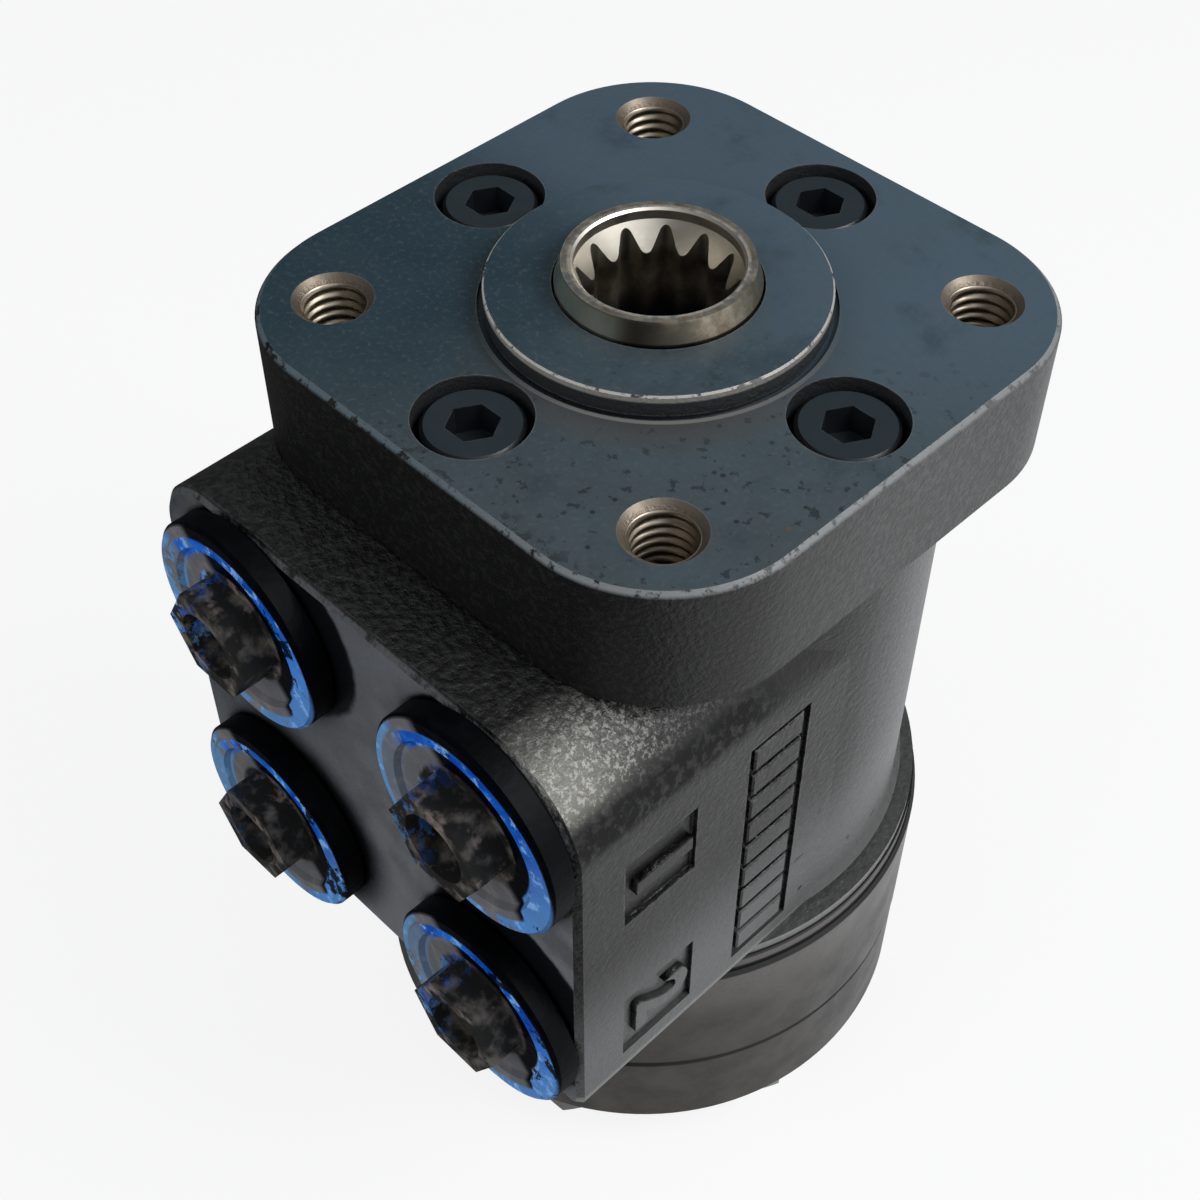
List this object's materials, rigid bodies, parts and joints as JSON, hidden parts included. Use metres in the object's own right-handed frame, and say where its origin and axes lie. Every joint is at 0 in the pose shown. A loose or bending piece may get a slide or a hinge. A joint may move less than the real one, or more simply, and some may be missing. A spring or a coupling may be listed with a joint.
{
  "type": "orbital steering unit",
  "caption": "Hydraulic steering unit: square mounting plate, splined rotary valve, port block and gerotor metering pump.",
  "frame": {"origin": "centre of the pilot boss where it meets the mounting face, on the spool's axis", "axes": "+Z out of the mounting face, along the input spline towards the steering column; the port face looks along -Y and +X is to its right"},
  "size_m": [0.0884, 0.106, 0.148],
  "materials": {
    "plate_paint": "thin blue-grey paint over cast iron, worn bright at the edges",
    "cast_housing": "rough casting under near-black paint",
    "ring_steel": "satin grey, turned",
    "spool_steel": "ground and lapped",
    "inner_steel": "ground",
    "black_screw": "black oxide",
    "zinc_screw": "zinc plated",
    "washer_copper": "soft copper",
    "bearing_steel": "polished",
    "spring_steel": "blued",
    "seal_rubber": "matt black",
    "ball_steel": "polished",
    "blue_plug": "moulded blue plastic"
  },
  "bodies": {
    "root": {"housing": "cast_housing", "mounting_plate": "plate_paint", "mounting_plate_screws": "black_screw", "plate_seal": "seal_rubber", "shaft_seal": "seal_rubber", "dust_seal": "seal_rubber", "bearing_race_upper": "bearing_steel", "gerotor_ring": "ring_steel", "spacer_plate": "ring_steel", "end_cap": "ring_steel", "end_cap_screws": "zinc_screw", "end_cap_washers": "washer_copper", "housing_seal": "seal_rubber", "ring_seal": "seal_rubber", "end_cap_seal": "seal_rubber", "ball_stop": "inner_steel"},
    "sleeve": {"sleeve": "inner_steel", "cross_pin": "inner_steel", "centring_springs": "spring_steel", "spring_ring": "inner_steel", "bearing_race_lower": "bearing_steel"},
    "spool": {"spool": "spool_steel"},
    "rotor_spacer": {"rotor_spacer": "inner_steel"},
    "gerotor_star": {"gerotor_star": "inner_steel"},
    "cardan_shaft": {"cardan_shaft": "inner_steel"},
    "thrust_bearing": {"thrust_bearing": "bearing_steel"},
    "check_ball": {"check_ball": "ball_steel"},
    "port_plug_upper_right": {"port_plug_upper_right": "blue_plug"},
    "port_plug_upper_left": {"port_plug_upper_left": "blue_plug"},
    "port_plug_lower_right": {"port_plug_lower_right": "blue_plug"},
    "port_plug_lower_left": {"port_plug_lower_left": "blue_plug"}
  },
  "joints": [
    {"name": "sleeve_rotation", "type": "hinge", "parent": "root", "child": "sleeve", "pos_m": [0, 0, -0.044], "axis": [0, 0, 1], "continuous": true},
    {"name": "spool_twist", "type": "hinge", "parent": "sleeve", "child": "spool", "pos_m": [0, 0, -0.02], "axis": [0, 0, 1], "range_deg": [-8, 8], "stiffness_Nm_per_rad": 4},
    {"name": "orbit", "type": "hinge", "parent": "root", "child": "rotor_spacer", "pos_m": [0, 0, -0.115], "axis": [0, 0, 1], "continuous": true},
    {"name": "star_rotation", "type": "hinge", "parent": "rotor_spacer", "child": "gerotor_star", "pos_m": [0.0026, 0, -0.1046], "axis": [0, 0, 1], "continuous": true},
    {"name": "cardan_rotation", "type": "hinge", "parent": "rotor_spacer", "child": "cardan_shaft", "pos_m": [0, 0, -0.044], "axis": [-0.0419, 0, 0.9991], "continuous": true},
    {"name": "bearing_rotation", "type": "hinge", "parent": "root", "child": "thrust_bearing", "pos_m": [0, 0, -0.01605], "axis": [0, 0, 1], "continuous": true},
    {"name": "check_ball_lift", "type": "slide", "parent": "root", "child": "check_ball", "axis": [0, -1, 0], "range_m": [0, 0.0012]},
    {"name": "pull_plug_upper_right", "type": "slide", "parent": "root", "child": "port_plug_upper_right", "axis": [0, -1, 0], "range_m": [0, 0.03]},
    {"name": "pull_plug_upper_left", "type": "slide", "parent": "root", "child": "port_plug_upper_left", "axis": [0, -1, 0], "range_m": [0, 0.03]},
    {"name": "pull_plug_lower_right", "type": "slide", "parent": "root", "child": "port_plug_lower_right", "axis": [0, -1, 0], "range_m": [0, 0.03]},
    {"name": "pull_plug_lower_left", "type": "slide", "parent": "root", "child": "port_plug_lower_left", "axis": [0, -1, 0], "range_m": [0, 0.03]}
  ],
  "couplings": [
    {"joint": "orbit", "follows": "sleeve_rotation", "ratio": -6},
    {"joint": "star_rotation", "follows": "sleeve_rotation", "ratio": 7},
    {"joint": "cardan_rotation", "follows": "sleeve_rotation", "ratio": 7},
    {"joint": "bearing_rotation", "follows": "sleeve_rotation", "ratio": 0.5}
  ]
}
